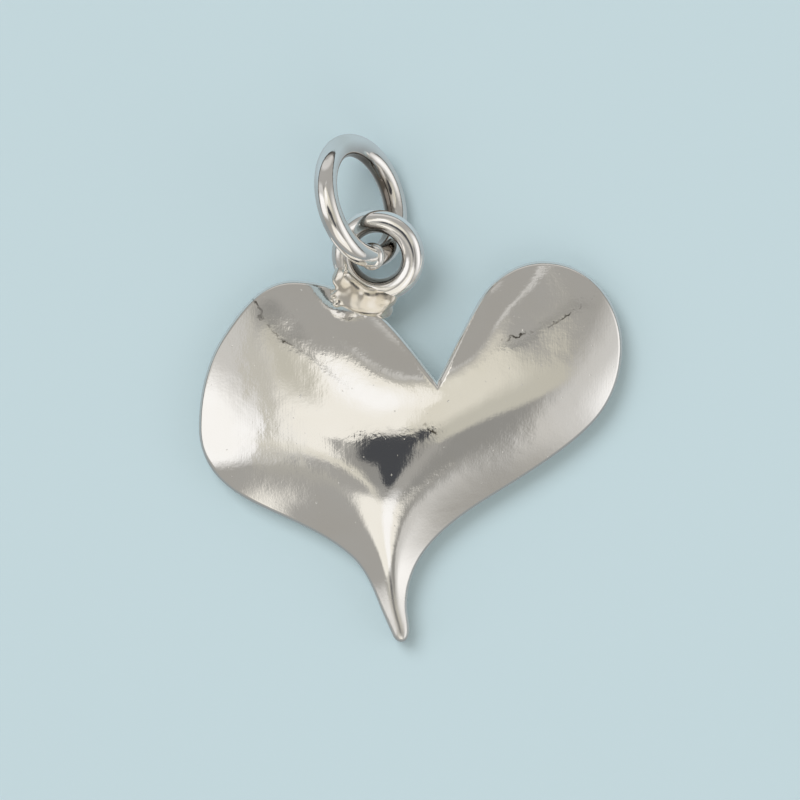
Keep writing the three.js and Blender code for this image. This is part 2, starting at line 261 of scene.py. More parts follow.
low_down = add_range(sky, off_zenith, *OPEN_FROM)
far_side = add_range(sky, split.outputs["Y"], *FAR_SIDE)
tent = add_mix(sky, add_math(sky, "MULTIPLY", low_down, far_side), tent, DARK)
below_horizon = add_math(sky, "LESS_THAN", split.outputs["Z"], 0.0)
far_off = add_range(sky, split.outputs["Y"], *FLOOR_CHANGE)
floor_seen = add_mix(sky, far_off, FLOOR_IN_METAL, FAR_FLOOR_IN_METAL)
tent = add_mix(sky, below_horizon, tent, floor_seen)
camera_ray = add_node(sky, "ShaderNodeLightPath").outputs["Is Camera Ray"]
shown = add_mix(sky, camera_ray, tent, BACKDROP)
background = add_node(sky, "ShaderNodeBackground", {"Color": shown, "Strength": 1.0})
add_node(sky, "ShaderNodeOutputWorld", {"Surface": background.outputs[0]})
print("the world has", len(sky.nodes), "nodes")

# %% [markdown]
# ## One soft lamp
#
# The tent lights the charm from everywhere. A wide and weak sun adds a direction, and with it a soft shadow
# on the floor. The metal doesn't mirror the lamp, or it would show as a disc on every curve.

# %% Lamp
SUN_STRENGTH = 1.2
SUN_SPREAD = 35
SUN_FROM = Vector((-0.5, 0.55, 1.0))

sun_data = bpy.data.lights.new("soft lamp", "SUN")
sun_data.energy = SUN_STRENGTH
sun_data.angle = math.radians(SUN_SPREAD)
sun = bpy.data.objects.new("soft lamp", sun_data)
sun.rotation_euler = SUN_FROM.to_track_quat("Z", "Y").to_euler()
sun.visible_glossy = False
bpy.context.scene.collection.objects.link(sun)
bpy.context.scene.view_settings.view_transform = "Standard"
print("the lamp has a strength of", SUN_STRENGTH)

# %% [markdown]
# ## The floor
#
# A plain pale card. Seen from beneath it is clear, so that the back of the charm can be looked at. It is
# clear to the mirror of the metal as well, which finds an evenly shaded floor in the lower half of the world
# instead: otherwise the flat back, lying on the card, would mirror nothing but the dark gap under itself.

# %% Floor
FLOOR_COLOUR = (0.60, 0.755, 0.82)
FLOOR_SIZE = 0.6  # metres

floor_mesh = bpy.data.meshes.new("floor")
floor = bpy.data.objects.new("floor", floor_mesh)
bm = bmesh.new()
bmesh.ops.create_grid(bm, x_segments=1, y_segments=1, size=FLOOR_SIZE / 2)
bm.to_mesh(floor_mesh)
bm.free()
floor_card = bpy.data.materials.new("floor card")
floor_card.use_nodes = True
card = floor_card.node_tree
card.nodes.clear()
matt = add_node(card, "ShaderNodeBsdfDiffuse", {"Color": (*FLOOR_COLOUR, 1.0)})
clear = add_node(card, "ShaderNodeBsdfTransparent")
from_below = add_node(card, "ShaderNodeNewGeometry").outputs["Backfacing"]
glossy_ray = add_node(card, "ShaderNodeLightPath").outputs["Is Glossy Ray"]
see_through = add_math(card, "MAXIMUM", from_below, glossy_ray)
one_sided = add_node(
    card, "ShaderNodeMixShader", {0: see_through, 1: matt.outputs[0], 2: clear.outputs[0]}
)
add_node(card, "ShaderNodeOutputMaterial", {"Surface": one_sided.outputs[0]})
floor_mesh.materials.append(floor_card)
bpy.context.scene.collection.objects.link(floor)
floor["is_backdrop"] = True
print("the floor is", FLOOR_SIZE, "m wide")

# %% [markdown]
# ## The outline of the heart
#
# Both sheets of the heart are sawn to one outline. It could be a long list of points, but a goldsmith draws
# it as a few knots joined by even curves, and so does a Bezier curve. It is then turned into a loop of
# short edges. The last number of a knot is for later: how steeply the dome climbs from there.

# %% Outline
OUTLINE_KNOTS = (  # x, y, heading that the line arrives with, heading that it leaves with, steepness
    (2.05, 3.2, -51, 62, 0.9),
    (3.9, 6.75, 60, 60, 1.1),
    (6.75, 8.5, 0, 0, 0.45),
    (10.2, 4.75, -90, -90, 0.55),
    (8.85, 1.35, -134, -134, 0.9),
    (5.9, -0.9, -147, -147, 1.1),
    (1.7, -4.0, -130, -130, 1.2),
    (0.75, -6.6, -90, -90, 0.85),
    (0.85, -7.7, -92, -92, 0.85),
    (0.5, -8.2, 180, 180, 0.85),
    (0.12, -7.9, 114, 114, 0.85),
    (-0.45, -6.6, 112, 112, 0.85),
    (-1.7, -4.45, 138, 138, 1.3),
    (-4.8, -2.65, 156, 156, 0.95),
    (-7.65, -0.85, 130, 130, 0.7),
    (-8.38, 1.2, 90, 90, 0.6),
    (-7.3, 5.25, 57, 57, 0.5),
    (-4.25, 7.65, 0, 0, 0.6),
    (-0.5, 6.2, -42, -42, 0.9),
)
EDGES_PER_CURVE = 20


def unit(degrees):
    return Vector((math.cos(math.radians(degrees)), math.sin(math.radians(degrees)), 0))


def handle_reach(start, end, heading_out, heading_in):
    turn = (heading_in - heading_out + 180) % 360 - 180
    return (end - start).length / (3 * math.cos(math.radians(turn) / 4) ** 2)


def mesh_through(knots, name):
    curve = bpy.data.curves.new(name, "CURVE")
    curve.dimensions = "2D"
    curve.fill_mode = "NONE"
    curve.resolution_u = EDGES_PER_CURVE
    spline = curve.splines.new("BEZIER")
    spline.bezier_points.add(len(knots) - 1)
    spline.use_cyclic_u = True
    for i, (x, y, heading_in, heading_out, _) in enumerate(knots):
        before = knots[i - 1]
        after = knots[(i + 1) % len(knots)]
        place = Vector((x, y, 0))
        arriving = handle_reach(Vector((before[0], before[1], 0)), place, before[3], heading_in)
        leaving = handle_reach(place, Vector((after[0], after[1], 0)), heading_out, after[2])
        knot = spline.bezier_points[i]
        knot.handle_left_type = "FREE"
        knot.handle_right_type = "FREE"
        knot.co = place * MM
        knot.handle_left = (place - unit(heading_in) * arriving) * MM
        knot.handle_right = (place + unit(heading_out) * leaving) * MM
    curve_object = bpy.data.objects.new(name, curve)
    mesh = bpy.data.meshes.new_from_object(curve_object)
    bpy.data.objects.remove(curve_object)
    return mesh


outline_mesh = mesh_through(OUTLINE_KNOTS, "outline")
outline = np.array([vertex.co[:2] for vertex in outline_mesh.vertices]) / MM
print("the outline has", len(outline), "edges and spans", np.ptp(outline, axis=0).round(2), "mm")

# %% [markdown]
# ## The line that the dome climbs from
#
# The front was pushed up from a flat sheet and starts to climb at its edge, gently at the ends of the lobes
# and more steeply at the tail. At the cleft the sheet was not pushed into the notch. Climbing from the
# outline would dig a deep valley there, so the dome has a line of its own, which bridges most of the cleft.

# %% Dome line
WALL_TOP = 0.9
EDGE_RADIUS = 0.3
DOME_SLOPE = 0.72
DOME_KNOTS = (
    (1.8, 6.0, -22, 32, 0.9),
    (4.05, 7.5, 31, 31, 1.1),
    *OUTLINE_KNOTS[2:-1],
    (-0.8, 6.9, -22, -22, 0.9),
)

slope_length = math.hypot(1, DOME_SLOPE)
dome_start = WALL_TOP + EDGE_RADIUS * (slope_length - DOME_SLOPE)
dome_mesh = mesh_through(DOME_KNOTS, "dome line")
dome_line = np.array([vertex.co[:2] for vertex in dome_mesh.vertices]) / MM
steepness = [knot[4] for knot in DOME_KNOTS] + [DOME_KNOTS[0][4]]
place_in_knots = (np.arange(len(dome_line)) + 0.5) / EDGES_PER_CURVE
dome_slopes = DOME_SLOPE * np.interp(place_in_knots, np.arange(len(steepness)), steepness)
print("the dome's slopes lie between", dome_slopes.min().round(2), "and", dome_slopes.max().round(2))

# %% [markdown]
# ## How high the dome is
#
# The distance to the nearest edge would give a roof with sharp creases. This climb averages over all
# directions instead: beside a straight edge it is the distance times the slope, and in the middle it rounds
# off into a soft ridge along each lobe and the tail. A hammered sheet is never quite even either, so two
# sizes of very shallow dents come on top.

# %% Dome height
LEAST_DISTANCE = 1e-6
POINTS_AT_A_TIME = 1500
DENTS_FROM = 0.1  # climb at which the dents start
DENTS_FADE = 0.6
DENTS = ((2.1, 3.0, 0.0022), (0.55, 9.0, 0.012))  # dents to the mm, where the noise is cut, height in mm
SUMMIT = (-1.1, 0.95)


def climb(points, line, slopes):
    starts = line
    ends = np.roll(line, -1, axis=0)
    lengths = np.linalg.norm(ends - starts, axis=1)
    along = (ends - starts) / lengths[:, None]
    inward = np.stack([along[:, 1], -along[:, 0]], axis=1)
    climbs = []
    for some in np.array_split(points, max(1, len(points) // POINTS_AT_A_TIME)):
        from_start = some[:, None] - starts
        away = (from_start * inward).sum(axis=2)
        away = np.where(np.abs(away) < LEAST_DISTANCE, LEAST_DISTANCE, away)
        near = -(from_start * along).sum(axis=2)
        far = near + lengths
        pull = (np.arctan(far / away) - np.arctan(near / away)) / (2 * away**2)
        pull += far / (2 * away * (away**2 + far**2)) - near / (2 * away * (away**2 + near**2))
        total = (pull / slopes**2).sum(axis=1)
        climbs.append(np.sign(total) * np.sqrt(np.pi / 2 / np.abs(total)))
    return np.concatenate(climbs)


def dents(points, rise):
    heights = np.zeros(len(points))
    for per_mm, cut, height in DENTS:
        waves = [noise.noise(Vector((x * per_mm, y * per_mm, cut))) for x, y in points]
        heights += height * np.array(waves)
    return np.clip((rise - DENTS_FROM) / DENTS_FADE, 0, 1) * heights


def dome_height(points):
    rise = climb(points, dome_line, dome_slopes)
    return dome_start + rise + dents(points, rise)


print("the dome is", round(float(dome_height(np.array([SUMMIT]))[0]), 2), "mm high")

# %% [markdown]
# ## What wear does to silver
#
# Polished metal is a plain metallic shader. What makes it look handled is small: a crinkle in patches, a
# fine grain, straight scratches left by the polish, pits, and worn spots, where a finer crinkle goes deep.
# Cut into the mesh, marks this fine would take millions of faces. So they are all added up to one height
# for the Bump node, in thousandths of a millimetre.

# %% Relief of the silver
PATCH_SCALE = 420.0  # every scale is in waves to the metre
PATCHES = (0.4, 0.62)  # values of the noise between which the crinkle sets in
CRINKLE_SCALE = 2600.0
WEAR_SCALE = 4200.0
PIT_SCALE = 7000.0
PITS = (0.84, 0.90)
GRAIN_SCALE = 9000.0
SCRATCH_SCALE = 14000.0
SCRATCH_HEADING = 0.5  # radians
SCRATCH_STRETCH = 0.04
BUMP_UNIT = 0.000001  # metres
WORN_HEIGHT = 2.5  # how high the dome is where it is worn
WORN_CORE = 0.4  # share of the radius that is worn all through


def add_noise(tree, place, scale, detail=2.0, roughness=0.5):
    noise_inputs = {"Vector": place, "Scale": scale, "Detail": detail, "Roughness": roughness}
    return add_node(tree, "ShaderNodeTexNoise", noise_inputs).outputs[0]


def add_wear(tree, place, worn_spots):
    worn = 0.0
    for x, y, radius, depth in worn_spots:
        spot = Vector((x, y, WORN_HEIGHT)) * MM
        away = add_vector(tree, "DISTANCE", place, spot, output="Value")
        near = add_range(tree, away, radius * MM, WORN_CORE * radius * MM, 0.0, depth)
        worn = add_math(tree, "MAXIMUM", worn, near)
    return worn


def add_relief(tree, place, crinkle, scratches, grain, pits, worn_spots):
    patches = add_range(tree, add_noise(tree, place, PATCH_SCALE), *PATCHES)
    crinkled = add_math(tree, "MULTIPLY", add_noise(tree, place, CRINKLE_SCALE), patches)
    brushed = add_node(
        tree,
        "ShaderNodeMapping",
        {"Vector": place, "Rotation": (0, 0, SCRATCH_HEADING), "Scale": (1.0, SCRATCH_STRETCH, 1.0)},
    ).outputs[0]
    pitted = add_range(tree, add_noise(tree, place, PIT_SCALE, 0.0), *PITS)
    worn = add_wear(tree, place, worn_spots)
    kinds = (
        (crinkled, crinkle),
        (add_noise(tree, place, GRAIN_SCALE), grain),
        (add_noise(tree, brushed, SCRATCH_SCALE, 1.0, 0.4), scratches),
        (pitted, -pits),
        (add_noise(tree, place, WEAR_SCALE), worn),
    )
    ground = 0.0
    for kind, depth in kinds:
        ground = add_math(tree, "ADD", ground, add_math(tree, "MULTIPLY", kind, depth))
    return add_node(tree, "ShaderNodeBump", {"Height": ground, "Distance": BUMP_UNIT}).outputs[0]


# %% [markdown]
# ## Painted dark lines
#
# Three dark lines are painted on the dome. The two on the lobes are painted reflections of dark folds in the
# tent cloth, drawn as ragged strokes like dirty scratches; the third is short and lies near the middle. Each
# is a few straight strokes seen from above. A picture of a line would blur from close by, so a stroke is
# painted where the distance to it is small. Pushing the place about with a fine noise makes it ragged, and a
# coarser noise breaks it up.

# %% Painted line helpers
DARK_LINE_WIDTH = 0.07
DARK_LINE_CORE = 0.3  # share of the width that is fully dark
RAGGED = 0.7
RAGGED_SCALE = 2400.0
BREAK_SCALE = 1700.0
BREAKS = (0.40, 0.58)


def add_dark_stroke(tree, flat_place, start, end):
    start = Vector((*start, 0)) * MM
    end = Vector((*end, 0)) * MM
    length = (end - start).length
    along = (end - start).normalized()
    from_start = add_vector(tree, "SUBTRACT", flat_place, start)
    passed = add_vector(tree, "DOT_PRODUCT", from_start, along, output="Value")
    kept = add_range(tree, passed, 0.0, length, 0.0, length)
    nearest = add_node(tree, "ShaderNodeVectorMath", {0: along, "Scale": kept}, operation="SCALE")
    away = add_vector(tree, "DISTANCE", from_start, nearest.outputs[0], output="Value")
    return add_range(tree, away, DARK_LINE_WIDTH * MM, DARK_LINE_CORE * DARK_LINE_WIDTH * MM)


# paints the dark lines, mostly painted reflections of the tent's folds
def add_painted_fold_lines(tree, place, dark_strokes):
    ragged = add_node(
        tree, "ShaderNodeTexNoise", {"Vector": place, "Scale": RAGGED_SCALE, "Detail": 3.0}
    )
    push = add_vector(tree, "SUBTRACT", ragged.outputs["Color"], (0.5, 0.5, 0.5))
    pushed = add_vector(tree, "MULTIPLY_ADD", push, (RAGGED * MM,) * 3, place)
    flat_place = add_vector(tree, "MULTIPLY", pushed, (1, 1, 0))
    painted_lines = 0.0
    for start, end in dark_strokes:
        painted_lines = add_math(tree, "MAXIMUM", painted_lines, add_dark_stroke(tree, flat_place, start, end))
    broken = add_range(tree, add_noise(tree, place, BREAK_SCALE), *BREAKS)
    return add_math(tree, "MULTIPLY", painted_lines, broken)


# %% [markdown]
# ## Oxide and painted shade inside a ring
#
# The polishing mop doesn't get inside a ring, so oxide stays there, and the same dark stands in for the
# shade
# inside the ring as well: it is partly oxide and partly painted shade. Painting the dark on would need an
# unwrapped mesh and a picture. Instead, the finish is told where the ring lies: a Mapping node brings every
# place into the ring's own frame, and the distance from its axis then tells the inside of the wire from the
# outside.

# %% Inside of a ring
WIRE_RADIUS = 0.5


def add_inside(tree, place, ring_place, ring_radius, dark_from, dark_to):
    to_ring = ring_place.inverted()
    in_ring = add_node(
        tree,
        "ShaderNodeMapping",
        {"Vector": place, "Location": to_ring.translation, "Rotation": to_ring.to_euler()},
    ).outputs[0]
    level = add_vector(tree, "MULTIPLY", in_ring, (1, 1, 0))
    away = add_vector(tree, "LENGTH", level, output="Value")
    first, full = ((ring_radius - share * WIRE_RADIUS) * MM for share in (dark_from, dark_to))
    return add_range(tree, away, first, full)


# %% [markdown]
# ## The finish
#
# One helper makes every silver. A slow noise drifts between clean and tarnished metal, and lets the polish
# come and go. One even colour and roughness would be simpler, but would look like chrome on plastic.

# %% Silver helper
DRIFT_SCALE = 260.0
TARNISHED = (0.35, 0.75)  # values of the drift between which the tarnish sets in
DULLED = (0.3, 0.7)
INSIDE_DARK_PATCHES = (0.3, 0.5, 0.65, 0.95)  # two values of the drift, and how much of the dark shows at each
# colour of the painted dark lines, a painted reflection of the tent's folds
PAINTED_FOLD_REFLECTION = (0.16, 0.15, 0.13)
# oxide inside the rings, also standing in as painted shade
OXIDE_AND_SHADE = (0.17, 0.145, 0.12)


def make_silver(
    name, colour, tarnish, roughness, relief, worn_spots=(), dark_strokes=(), ring=(), dull_tail=()
):
    material = bpy.data.materials.new(name)
    material.use_nodes = True
    tree = material.node_tree
    tree.nodes.clear()
    place = add_node(tree, "ShaderNodeTexCoord").outputs["Object"]
    drift = add_noise(tree, place, DRIFT_SCALE, 3.0, 0.6)
    tint = add_mix(tree, add_range(tree, drift, *TARNISHED), colour, tarnish)
    rough = add_range(tree, drift, *DULLED, *roughness)
    if dull_tail:
        up_the_charm = add_node(tree, "ShaderNodeSeparateXYZ", {0: place}).outputs["Y"]
        first, full, dull = dull_tail
        more = add_range(tree, up_the_charm, first * MM, full * MM, 0.0, dull)
        rough = add_math(tree, "ADD", rough, more)
    # dark strokes painted on: painted reflections of dark tent folds
    if dark_strokes:
        tint = add_mix(tree, add_painted_fold_lines(tree, place, dark_strokes), tint, PAINTED_FOLD_REFLECTION)
    # inside a ring: dark oxide together with painted shade
    if ring:
        patchy = add_range(tree, drift, *INSIDE_DARK_PATCHES)
        dark = add_math(tree, "MULTIPLY", add_inside(tree, place, *ring), patchy)
        tint = add_mix(tree, dark, tint, OXIDE_AND_SHADE)
    bump = add_relief(tree, place, *relief, worn_spots)
    metal = add_node(
        tree,
        "ShaderNodeBsdfPrincipled",
        {"Base Color": tint, "Roughness": rough, "Metallic": 1.0, "Normal": bump},
    )
    add_node(tree, "ShaderNodeOutputMaterial", {"Surface": metal.outputs[0]})
    print(name, "has", len(tree.nodes), "nodes")
    return material


# %% [markdown]
# ## The finishes of the heart
#
# The front is bright, with worn spots of its own and painted dark lines, most of them painted reflections of
# folds in the tent, and its thin tail has lost some of the shine. The back is softer, because it rubs
# against what it lies on. The solder holds some brass and has turned a little tan.

# %% Finishes
WORN_SPOTS = (  # x, y, radius and depth
    (-1.5, 0.9, 0.8, 11),
    (-0.5, 0.75, 0.8, 11),
    (0.7, 0.8, 0.9, 11),
    (1.9, 1.0, 0.9, 10),
    (-6.0, 6.9, 1.2, 5),
    (-5.5, 5.8, 1.1, 5),
    (-4.5, 4.8, 1.0, 5),
    (-3.0, 3.9, 0.9, 4),
    (5.2, 5.0, 0.9, 3),
    (6.5, 5.3, 1.0, 3),
    (7.8, 6.0, 1.0, 3),
    (8.7, 6.8, 1.0, 4),
)
# strokes of the painted dark lines; those on the lobes are painted reflections of folds in the tent
PAINTED_DARK_STROKES = (  # start and end of each stroke
    ((4.9, 5.0), (6.8, 5.5)),
    ((6.8, 5.5), (8.1, 6.3)),
    ((8.1, 6.3), (8.9, 7.0)),
    ((-6.1, 7.1), (-5.6, 6.0)),
    ((-5.6, 6.0), (-5.1, 5.3)),
    ((-5.1, 5.3), (-3.9, 4.5)),
    ((1.5, 1.3), (2.2, 1.0)),
)
DULL_TAIL = (-5.2, -6.4, 0.2)  # Y where it starts, Y where it is full, added roughness

# name, colour, tarnish, least and most roughness, depth of the crinkle, scratches, grain and pits
bright_silver = make_silver(
    "bright silver",
    (0.93, 0.92, 0.90),
    (0.90, 0.88, 0.84),
    (0.05, 0.09),
    (4.5, 0.9, 1.3, 5.0),
    WORN_SPOTS,
    PAINTED_DARK_STROKES,
    dull_tail=DULL_TAIL,
)
back_silver = make_silver(
    "back silver", (0.90, 0.89, 0.86), (0.84, 0.82, 0.77), (0.16, 0.26), (6.0, 1.5, 1.0, 5.0)
)
solder_silver = make_silver(
    "solder", (0.96, 0.95, 0.92), (0.66, 0.57, 0.43), (0.10, 0.24), (2.5, 0.4, 1.0, 3.0)
)

# %% [markdown]
# ## Putting a finished mesh into the scene
#
# Every piece goes through one helper: it makes the object, gives it its material, says which body it moves
# with, and hides the solid that it stands for.

# %% Piece helper
def add_piece(bm, name, body, material, nodes):
    mesh = bpy.data.meshes.new(name)
    bm.to_mesh(mesh)
    bm.free()
    mesh.materials.append(material)
    mesh.shade_smooth()
    piece = bpy.data.objects.new(name, mesh)
    bpy.context.scene.collection.objects.link(piece)
    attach(piece, body)
    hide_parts(*nodes)
    print(name, "has", len(mesh.polygons), "faces")
    return piece


# %% [markdown]
# ## Rows along the outline
#
# Walls, rounded edges and grooves are all rows that follow the outline, a little further in. The inset
# operator needs a face to work on, and here there is only a line. So each point moves square to the line,
# and a little more where the line turns a corner, as in a mitre.

# %% Rows
LEAST_MITRE = 0.4

along_edge = np.roll(outline, -1, axis=0) - np.roll(outline, 1, axis=0)
along_edge /= np.linalg.norm(along_edge, axis=1)[:, None]
outward = np.stack([-along_edge[:, 1], along_edge[:, 0]], axis=1)
before_edge = outline - np.roll(outline, 1, axis=0)
before_edge /= np.linalg.norm(before_edge, axis=1)[:, None]
mitre = 1 / np.maximum(LEAST_MITRE, (before_edge * along_edge).sum(axis=1))


def outline_row(inset):
    return outline - outward * (inset * mitre)[:, None]


def extrude_row(bm, row):
    made = bmesh.ops.extrude_edge_only(bm, edges=row)["geom"]
    edges = [item for item in made if isinstance(item, bmesh.types.BMEdge)]
    return edges, [item for item in made if isinstance(item, bmesh.types.BMVert)]


def start_from_outline(height):
    bm = bmesh.new()
    bm.from_mesh(outline_mesh)
    place_layer = bm.verts.layers.int.new("place")
    for i, vertex in enumerate(bm.verts):
        vertex[place_layer] = i
        vertex.co = (outline[i][0] * MM, outline[i][1] * MM, height * MM)
    return bm, place_layer


print("the sharpest corner has a mitre of", mitre.max().round(2))

# %% [markdown]
# ## The front shell: how far its edge turns over
#
# The wall of the front turns over a small radius and then runs into the dome. A quarter turn would leave a
# kink there, so the turn ends where it leans as the dome does. The dome's slope is measured between two
# insets, all the way round.

# %% Turn of the edge
SLOPE_BETWEEN = (0.03, 0.3)
SLOPE_LIMITS = (0.05, 1.6)

outer, inner = SLOPE_BETWEEN
rise_at_edge = dome_height(outline_row(inner)) - dome_height(outline_row(outer))
edge_slopes = np.clip(rise_at_edge / (inner - outer), *SLOPE_LIMITS)
turn_end = np.arctan(1 / edge_slopes)
turn_inset = EDGE_RADIUS * (1 - np.cos(turn_end))
wall_top = dome_height(outline_row(turn_inset)) - EDGE_RADIUS * np.sin(turn_end)
print("the wall is between", wall_top.min().round(2), "and", wall_top.max().round(2), "mm high")

# %% [markdown]
# ## The front shell: wall, edge and two faces
#
# The outline is extruded into the wall and its rounded edge, and closed with one flat face on top and one
# underneath. Every point remembers the direction that it should shade with, because a mirror shows the
# smallest unevenness of a mesh.

# %% Wall and edge of the front
SEAM_TOP = 0.62
ROWS_IN_TURN = 6
TOP_SIDE = 1
UNDER_SIDE = 2

bm, place_layer = start_from_outline(SEAM_TOP)
normal_layer = bm.verts.layers.float_vector.new("shade")
side_layer = bm.faces.layers.int.new("side")
for i, vertex in enumerate(bm.verts):
    vertex[normal_layer] = (outward[i][0], outward[i][1], 0)
first_row = bm.edges[:]
row = first_row
for share in np.arange(ROWS_IN_TURN + 1) / ROWS_IN_TURN:
    row, new_vertices = extrude_row(bm, row)
    angle = turn_end * share
    at = outline_row(EDGE_RADIUS * (1 - np.cos(angle)))
    height = wall_top + EDGE_RADIUS * np.sin(angle)
    for vertex in new_vertices:
        i = vertex[place_layer]
        vertex.co = (at[i][0] * MM, at[i][1] * MM, height[i] * MM)
        lying = math.cos(angle[i])
        vertex[normal_layer] = (outward[i][0] * lying, outward[i][1] * lying, math.sin(angle[i]))
top = bmesh.ops.contextual_create(bm, geom=row)["faces"]
underneath = bmesh.ops.contextual_create(bm, geom=first_row)["faces"]
for side, faces in ((TOP_SIDE, top), (UNDER_SIDE, underneath)):
    for face in faces:
        face[side_layer] = side
print("the flat front has", len(bm.faces), "faces")

# %% [markdown]
# ## The front shell: a fine grid
#
# Two flat faces can't be domed, and a separate grid for the dome would have to be stitched to the wall.
# Cutting the whole body along a fine square grid gives both faces enough points, and cuts the wall at the
# same places.

# %% Grid over the front
GRID_STEP = 0.13
ON_PLANE = 1e-7

for axis, (low, high) in enumerate(zip(outline.min(axis=0), outline.max(axis=0))):
    for line in np.arange(low + GRID_STEP / 2, high, GRID_STEP):
        cut_at = Vector((0, 0, 0))
        cut_at[axis] = line * MM
        facing = Vector((0, 0, 0))
        facing[axis] = 1
        everything = bm.verts[:] + bm.edges[:] + bm.faces[:]
        bmesh.ops.bisect_plane(bm, geom=everything, plane_co=cut_at, plane_no=facing, dist=ON_PLANE)
print("the front now has", len(bm.verts), "points")

# %% [markdown]
# ## The front shell: raising it
#
# The upper points go up onto the dome and the lower ones up into the hollow, which stays one thickness of
# sheet below the dome and away from the wall. Where the tail is too narrow for a hollow, it stays solid. A
# sculpted dome could look as good, but only a formula knows its own slope, which the shading needs.

# %% Dome and hollow
FRONT_SHEET = 0.6
HOLLOW_WALL_SLOPE = 5
NORMAL_STEP = 0.01


def dome_normals(points):
    east = dome_height(points + [NORMAL_STEP, 0]) - dome_height(points - [NORMAL_STEP, 0])
    north = dome_height(points + [0, NORMAL_STEP]) - dome_height(points - [0, NORMAL_STEP])
    two_steps = 2 * NORMAL_STEP
    normals = np.stack([-east / two_steps, -north / two_steps, np.ones(len(points))], axis=1)
    return normals / np.linalg.norm(normals, axis=1)[:, None]


def inner_vertices(bm, side):
    return [v for v in bm.verts if v.link_faces and all(f[side_layer] == side for f in v.link_faces)]


raised = inner_vertices(bm, TOP_SIDE)
at = np.array([v.co[:2] for v in raised]) / MM
for vertex, height, normal in zip(raised, dome_height(at), dome_normals(at)):
    vertex.co.z = height * MM
    vertex[normal_layer] = normal
edge_of_dome = [v for v in bm.verts if len({f[side_layer] for f in v.link_faces}) == 2]
rim = [v for v in edge_of_dome if v.co.z > WALL_TOP * MM]
at = np.array([v.co[:2] for v in rim]) / MM
for vertex, normal in zip(rim, dome_normals(at)):
    vertex[normal_layer] = (Vector(vertex[normal_layer]).normalized() + Vector(normal)).normalized()
sunk = inner_vertices(bm, UNDER_SIDE)
at = np.array([v.co[:2] for v in sunk]) / MM
under_dome = dome_start - FRONT_SHEET * slope_length + climb(at, dome_line, dome_slopes)
from_wall = climb(at, outline, np.ones(len(outline))) - FRONT_SHEET
beside_wall = SEAM_TOP + HOLLOW_WALL_SLOPE * from_wall
for vertex, height in zip(sunk, np.minimum(under_dome, np.maximum(beside_wall, SEAM_TOP))):
    vertex.co.z = max(SEAM_TOP, height) * MM
print("raised", len(raised), "points of the dome and", len(sunk), "of the hollow")

# %% [markdown]
# ## The front shell: shading
#
# The mesh becomes a piece, and each corner is given the direction that was kept for it. Left alone, Blender
# would average the faces round a point, and their uneven sizes along the rim would show in the silver. The
# hollow keeps the plain directions of its faces. The helper layers have done their work and are removed.

# %% Shading of the front
bmesh.ops.recalc_face_normals(bm, faces=bm.faces[:])
bm.verts.index_update()
shade = [Vector(v[normal_layer]).normalized() for v in bm.verts]
sides = [f[side_layer] for f in bm.faces]
front = add_piece(bm, "puffed_front", "charm", bright_silver, ["front_shell"])
corner_normals = []
for polygon, side in zip(front.data.polygons, sides):
    for index in polygon.vertices:
        corner_normals.append(polygon.normal if side == UNDER_SIDE else shade[index])
front.data.normals_split_custom_set(corner_normals)
for name in ("place", "shade", "side"):
    front.data.attributes.remove(front.data.attributes[name])

# %% [markdown]
# ## The back plate
#
# The back is the same outline sawn from flat sheet, with its lower edge eased and one small vent hole. Air
# has to leave the hollow while it is soldered. The hole could be cut out with a boolean, but filling between
# two loops, the outline and the hole, needs no second body.

# %% Back plate
BACK_TOP = 0.5
BACK_EDGE = 0.08
BACK_EDGE_ANGLES = (0, 30, 60, 90)
VENT_RADIUS = 0.4
VENT_AT = (-0.6, -2.6)
VENT_SIDES = 48
SHARP_FROM = 40  # degrees between two faces from which their edge stays sharp

bm, place_layer = start_from_outline(BACK_TOP)
top_row = bm.edges[:]
row = top_row
for angle in BACK_EDGE_ANGLES:
    row, new_vertices = extrude_row(bm, row)
    at = outline_row(BACK_EDGE * (1 - math.cos(math.radians(angle))))
    height = BACK_EDGE * (1 - math.sin(math.radians(angle)))
    for vertex in new_vertices:
        i = vertex[place_layer]
        vertex.co = (at[i][0] * MM, at[i][1] * MM, height * MM)
rims = []
for height, loop in ((BACK_TOP, top_row), (0.0, row)):
    hole = bmesh.ops.create_circle(
        bm,
        segments=VENT_SIDES,
        radius=VENT_RADIUS * MM,
        matrix=Matrix.Translation(Vector((*VENT_AT, height)) * MM),
    )["verts"]
    hole_edges = list({edge for vertex in hole for edge in vertex.link_edges})
    bmesh.ops.triangle_fill(bm, edges=loop + hole_edges, use_beauty=True)
    rims += hole_edges
bmesh.ops.bridge_loops(bm, edges=rims)
bmesh.ops.recalc_face_normals(bm, faces=bm.faces[:])
back = add_piece(bm, "flat_back", "charm", back_silver, ["back_plate"])
back.data.attributes.remove(back.data.attributes["place"])
back.data.set_sharp_from_angle(angle=math.radians(SHARP_FROM))
weighted = back.modifiers.new("flat shading", "WEIGHTED_NORMAL")
weighted.keep_sharp = True

# %% [markdown]
# ## The seam of solder
#
# A thin line of solder joins the two sheets. It was filed flush, and it stays visible as a slightly duller
# groove in the side of the heart. It could be painted on the wall, but a real groove catches the light.

# %% Seam
SEAM_INSET = 0.015
SEAM_ROWS = ((0.53, 0.6), (0.56, 1.0), (0.59, 0.6), (SEAM_TOP, 0.0))  # height and share of the inset

